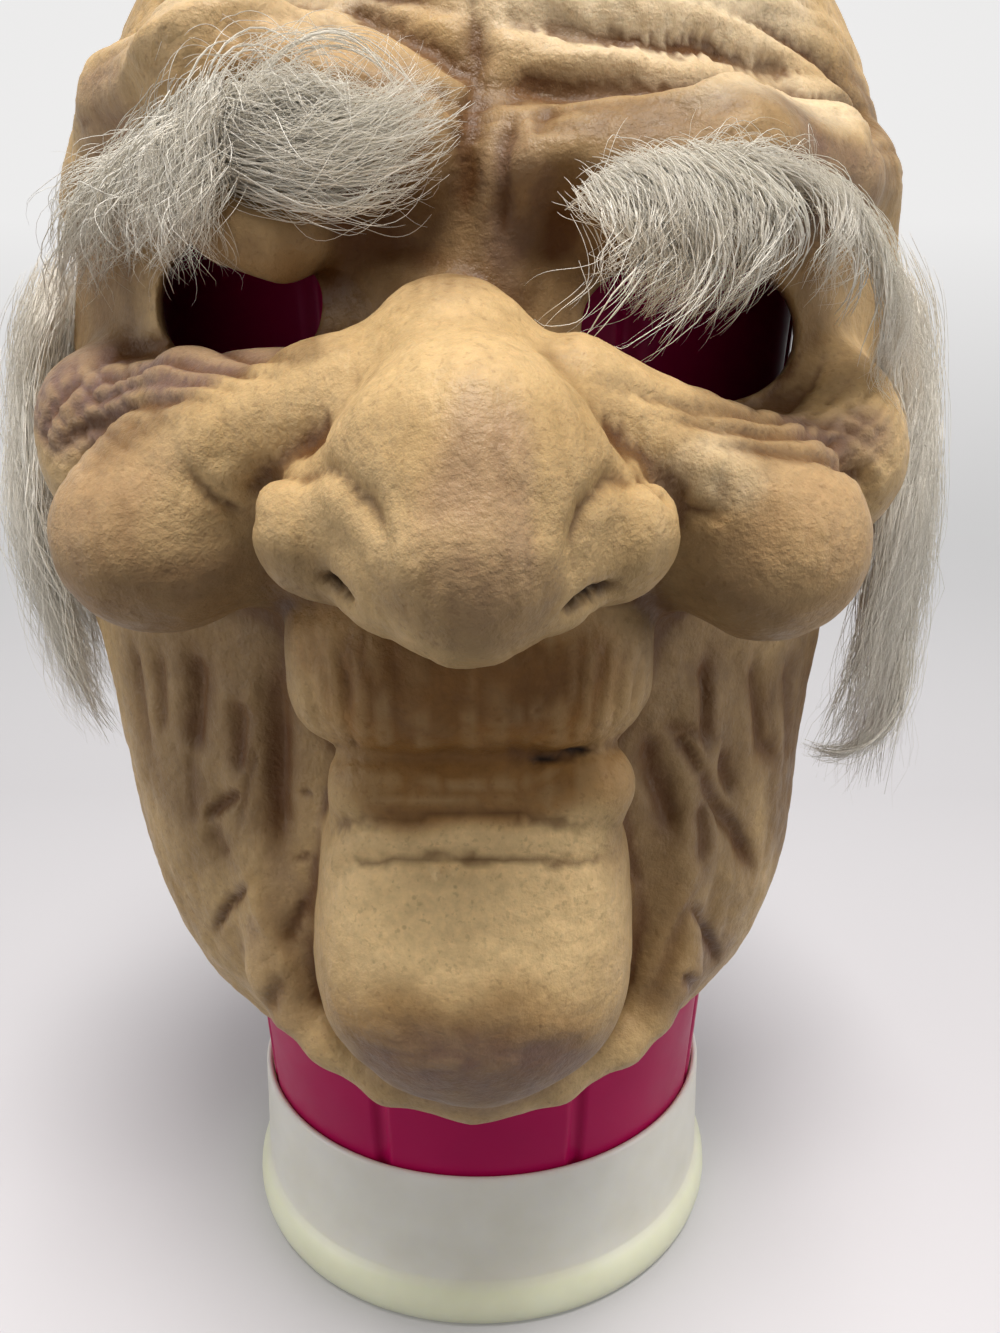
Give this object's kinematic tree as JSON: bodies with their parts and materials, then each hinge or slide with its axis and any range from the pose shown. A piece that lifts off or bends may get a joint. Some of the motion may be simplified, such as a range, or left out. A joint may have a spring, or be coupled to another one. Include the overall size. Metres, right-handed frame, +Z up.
{
  "type": "old man mask",
  "caption": "Moulded latex mask of a wrinkled old man with a beak nose, ball cheeks, block chin and grey hair tufts, standing upright on a flaring tub set in a shallow round cup.",
  "frame": {"origin": "centre of the underside of the cup that the stand rests on, on the tub's axis", "axes": "+Z up along the tub's axis, -Y towards the side the face looks to, +X to the viewer's right"},
  "size_m": [0.2419, 0.2476, 0.36],
  "materials": {
    "latex": "satin",
    "hair": "matte",
    "tub_plastic": "satin",
    "cup_plastic": "satin"
  },
  "bodies": {
    "root": {"mask_face": "latex", "eyebrow_left": "hair", "eyebrow_right": "hair", "side_hair_left": "hair", "side_hair_right": "hair", "stand_drum": "tub_plastic", "stand_base": "cup_plastic"}
  },
  "joints": []
}
